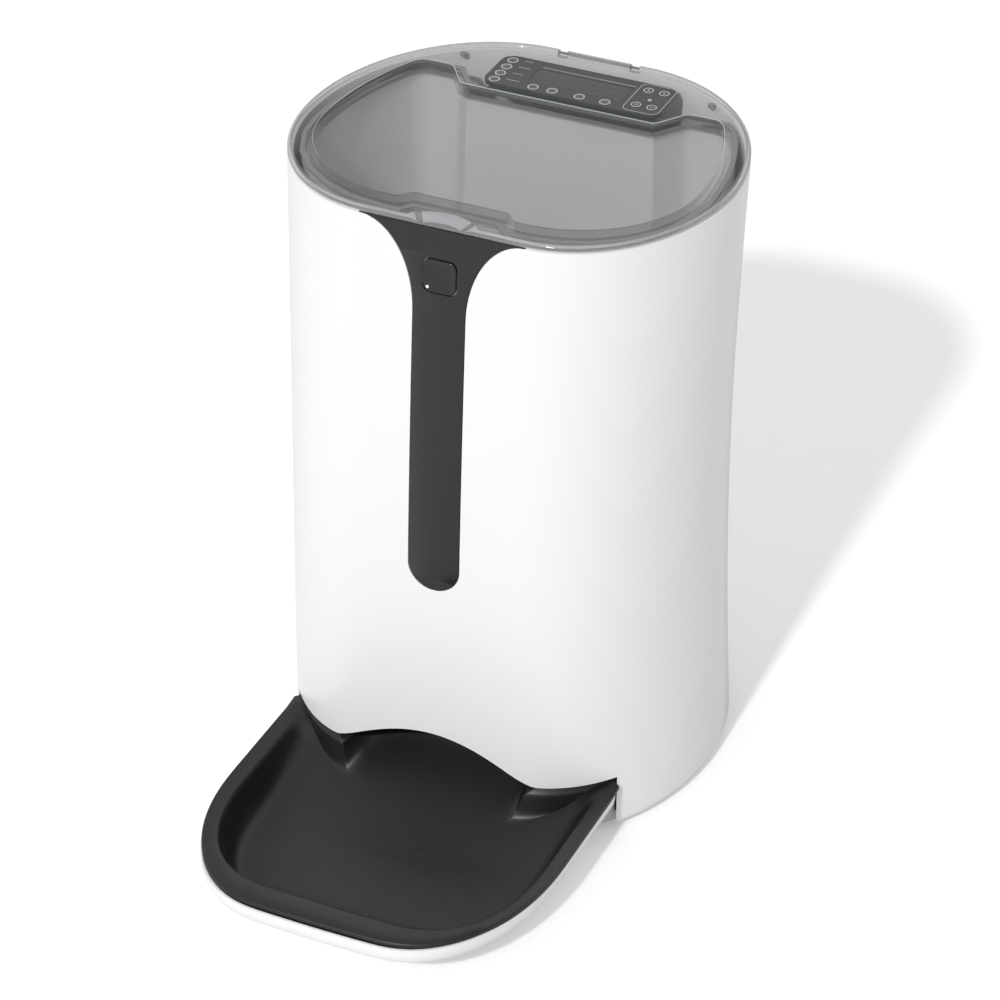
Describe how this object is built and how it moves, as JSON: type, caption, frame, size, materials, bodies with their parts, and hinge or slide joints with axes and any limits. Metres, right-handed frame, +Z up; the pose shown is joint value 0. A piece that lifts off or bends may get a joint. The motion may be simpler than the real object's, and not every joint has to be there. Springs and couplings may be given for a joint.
{
  "type": "smart pet feeder",
  "caption": "Upright dry-food feeder with a tall curved hopper body, clear hinged lid, top control panel, motor-driven dosing rotor and a dark food bowl in a low front tray.",
  "frame": {"origin": "on the floor, under the centre of the object's bounding box", "axes": "+Z up, the food tray and the front towards -Y, +X to the right as seen from the front"},
  "size_m": [0.19, 0.287, 0.285],
  "materials": {
    "white_shell": "smooth white moulded plastic, satin to gloss",
    "charcoal": "dark charcoal moulded plastic, satin",
    "charcoal_gloss": "dark charcoal plastic, semi gloss",
    "smoke_clear": "smoke grey clear plastic, polished",
    "tank_grey": "light grey moulded plastic, satin",
    "deck_grey": "grey moulded plastic, satin",
    "seal_grey": "soft grey silicone",
    "rubber_black": "black rubber, matt",
    "steel": "plain steel",
    "board_green": "green circuit board",
    "acetal": "natural acetal, satin",
    "lamp_white": "milky light guide",
    "display_dark": "dark display glass, polished",
    "cell_wrap": "plain dark wrapped cell, its density stands in for a dry cell's"
  },
  "bodies": {
    "feeder": {"base_foot_1": "rubber_black", "base_foot_2": "rubber_black", "base_foot_3": "rubber_black", "base_foot_4": "rubber_black", "base_plate": "white_shell", "base_screw_1": "steel", "base_screw_2": "steel", "base_screw_3": "steel", "base_screw_4": "steel", "battery_1": "cell_wrap", "battery_2": "cell_wrap", "battery_3": "cell_wrap", "battery_box": "tank_grey", "bracket_screw_1": "steel", "bracket_screw_2": "steel", "button_board": "board_green", "contact_strip_1": "steel", "contact_strip_2": "steel", "control_panel": "charcoal_gloss", "dc_jack": "rubber_black", "display_board": "board_green", "drum_housing": "acetal", "front_trim": "charcoal", "gear_motor": "steel", "hopper": "tank_grey", "lcd_display": "display_dark", "lid_hinge_pin": "steel", "lid_pad_1": "seal_grey", "lid_pad_2": "seal_grey", "light_guide_column": "lamp_white", "light_guide_row": "lamp_white", "main_board": "board_green", "motor_bracket": "steel", "motor_screw_1": "steel", "motor_screw_2": "steel", "outer_shell": "white_shell", "outlet_chute": "tank_grey", "shaft_bush_1": "acetal", "shaft_bush_2": "acetal", "speaker": "rubber_black", "status_led": "lamp_white", "top_deck": "deck_grey"},
    "lid": {"lid": "smoke_clear", "lid_seal": "seal_grey"},
    "rotor": {"rotor": "charcoal", "rotor_shaft": "steel", "drive_gear": "acetal"},
    "pinion": {"motor_pinion": "steel"},
    "feed_button": {"feed_button": "charcoal_gloss", "button_light": "lamp_white"},
    "key_1": {"panel_key_1": "charcoal_gloss"},
    "key_2": {"panel_key_2": "charcoal_gloss"},
    "key_3": {"panel_key_3": "charcoal_gloss"},
    "key_4": {"panel_key_4": "charcoal_gloss"},
    "tray": {"tray_shell": "white_shell", "food_bowl": "charcoal", "tray_foot_1": "rubber_black", "tray_foot_2": "rubber_black"},
    "battery_door": {"battery_door": "tank_grey"}
  },
  "joints": [
    {"name": "lid_hinge", "type": "hinge", "parent": "feeder", "child": "lid", "pos_m": [0, 0.142, 0.2835], "axis": [-1, 0, 0], "range_deg": [0, 100]},
    {"name": "rotor_spin", "type": "hinge", "parent": "feeder", "child": "rotor", "pos_m": [0, 0.0355, 0.108], "axis": [1, 0, 0], "continuous": true},
    {"name": "pinion_spin", "type": "hinge", "parent": "feeder", "child": "pinion", "pos_m": [0.035, 0.0658, 0.108], "axis": [1, 0, 0], "continuous": true},
    {"name": "feed_button_press", "type": "slide", "parent": "feeder", "child": "feed_button", "axis": [0, 0.9972, -0.0749], "range_m": [0, 0.0008], "stiffness_N_per_m": 300},
    {"name": "key_1_press", "type": "slide", "parent": "feeder", "child": "key_1", "axis": [0, 0, -1], "range_m": [0, 0.0005], "stiffness_N_per_m": 300},
    {"name": "key_2_press", "type": "slide", "parent": "feeder", "child": "key_2", "axis": [0, 0, -1], "range_m": [0, 0.0005], "stiffness_N_per_m": 300},
    {"name": "key_3_press", "type": "slide", "parent": "feeder", "child": "key_3", "axis": [0, 0, -1], "range_m": [0, 0.0005], "stiffness_N_per_m": 300},
    {"name": "key_4_press", "type": "slide", "parent": "feeder", "child": "key_4", "axis": [0, 0, -1], "range_m": [0, 0.0005], "stiffness_N_per_m": 300},
    {"name": "tray_pull", "type": "slide", "parent": "feeder", "child": "tray", "axis": [0, -1, 0], "range_m": [0, 0.15]},
    {"name": "battery_door_off", "type": "slide", "parent": "feeder", "child": "battery_door", "axis": [0, 0, -1], "range_m": [0, 0.03]}
  ],
  "couplings": [
    {"joint": "pinion_spin", "follows": "rotor_spin", "ratio": -3}
  ]
}
